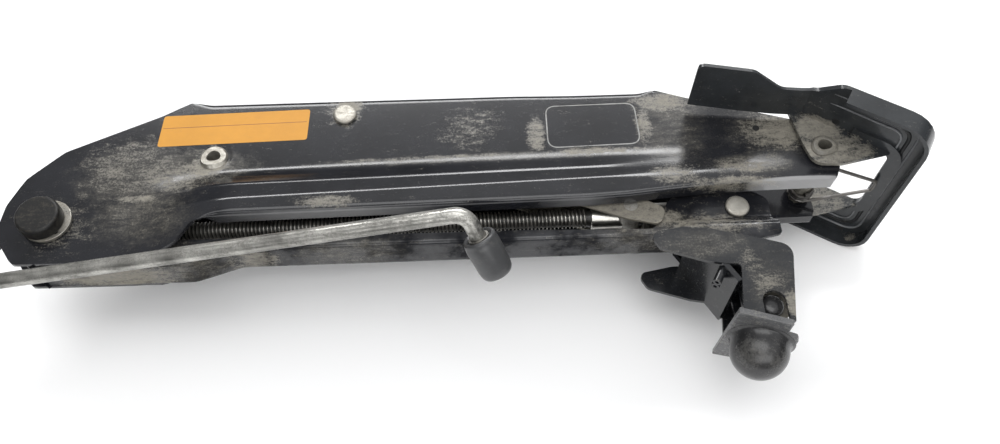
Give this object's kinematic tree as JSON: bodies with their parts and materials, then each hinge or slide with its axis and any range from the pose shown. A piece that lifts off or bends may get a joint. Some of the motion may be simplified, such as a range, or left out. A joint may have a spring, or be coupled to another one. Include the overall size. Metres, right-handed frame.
{
  "type": "scissor stabilizer jack",
  "caption": "Folded half-scissor jack: a channel column with a hinged arm, strut, threaded spindle, folding crank, swivelling head and hinged foot.",
  "frame": {"origin": "centre of the stowage tube's bore, on the middle plane of the jack", "axes": "+X along the folded jack from the main pivot to the head and foot, +Y to the column's closed web, +Z along the hinge axes towards the side with the black cap"},
  "size_m": [0.6184, 0.2084, 0.1463],
  "materials": {
    "column_paint": "satin black paint, scratched, with beige dust",
    "arm_paint": "satin black paint, dusty",
    "foot_paint": "satin black paint, dusty",
    "head_paint": "satin black paint, speckled with dust",
    "strut_paint": "dull black paint under dust",
    "rivet_zinc": "zinc plated, dull",
    "crank_zinc": "zinc plated, worn",
    "spindle_steel": "oiled grey-brown steel",
    "washer_steel": "bare steel",
    "cap_black": "black, matt",
    "grip_black": "black, slightly rubbery",
    "spring_wire": "phosphated spring wire"
  },
  "bodies": {
    "column": {"column_channel": "column_paint", "stowage_tube": "rivet_zinc", "strut_rivet": "rivet_zinc", "strut_washers": "washer_steel", "foot_rivet": "rivet_zinc", "foot_spacers": "washer_steel"},
    "arm": {"carrying_arm": "arm_paint", "nut_trunnion": "spindle_steel", "trunnion_cap": "cap_black", "trunnion_clip": "rivet_zinc", "head_pin": "rivet_zinc"},
    "strut": {"strut_channel": "strut_paint"},
    "block": {"thrust_block": "washer_steel"},
    "spindle": {"spindle_screw": "spindle_steel", "thrust_washers": "washer_steel", "spindle_collar": "spindle_steel", "collar_pin": "washer_steel", "spindle_eye": "spindle_steel"},
    "crank": {"crank_rod": "crank_zinc", "crank_washers": "washer_steel", "grip_clip": "washer_steel"},
    "grip": {"crank_grip": "grip_black"},
    "head": {"head_bracket": "head_paint", "head_yoke": "head_paint", "saddle_plate": "head_paint", "saddle_dome": "head_paint", "saddle_rivets": "rivet_zinc", "head_stop": "head_paint"},
    "foot": {"foot_plate": "foot_paint", "foot_spring": "spring_wire"}
  },
  "joints": [
    {"name": "arm_lift", "type": "hinge", "parent": "column", "child": "arm", "pos_m": [-0.101, -0.046, 0], "axis": [0, 0, -1], "range_deg": [0, 56]},
    {"name": "strut_swing", "type": "hinge", "parent": "column", "child": "strut", "pos_m": [0.085, 0.03, 0], "axis": [0, 0, -1], "range_deg": [0, 112]},
    {"name": "block_turn", "type": "hinge", "parent": "strut", "child": "block", "pos_m": [0.271, -0.046, 0], "axis": [0, 0, -1], "range_deg": [-56, 0]},
    {"name": "spindle_spin", "type": "hinge", "parent": "block", "child": "spindle", "pos_m": [0.271, -0.046, 0], "axis": [-1, 0, 0], "range_deg": [0, 60]},
    {"name": "crank_fold", "type": "hinge", "parent": "spindle", "child": "crank", "pos_m": [-0.148, -0.046, 0], "axis": [0, 0, -1], "range_deg": [0, 95]},
    {"name": "grip_turn", "type": "hinge", "parent": "crank", "child": "grip", "pos_m": [0.165, -0.084, 0.0725], "axis": [0.4201, -0.5001, -0.7572], "continuous": true},
    {"name": "head_swivel", "type": "hinge", "parent": "arm", "child": "head", "pos_m": [0.34, -0.049, 0], "axis": [0, 0, 1], "range_deg": [0, 45]},
    {"name": "foot_swivel", "type": "hinge", "parent": "column", "child": "foot", "pos_m": [0.398, -0.017, 0], "axis": [0, 0, 1], "range_deg": [0, 40]}
  ],
  "couplings": [
    {"joint": "strut_swing", "follows": "arm_lift", "ratio": 2},
    {"joint": "block_turn", "follows": "arm_lift", "ratio": -1}
  ]
}
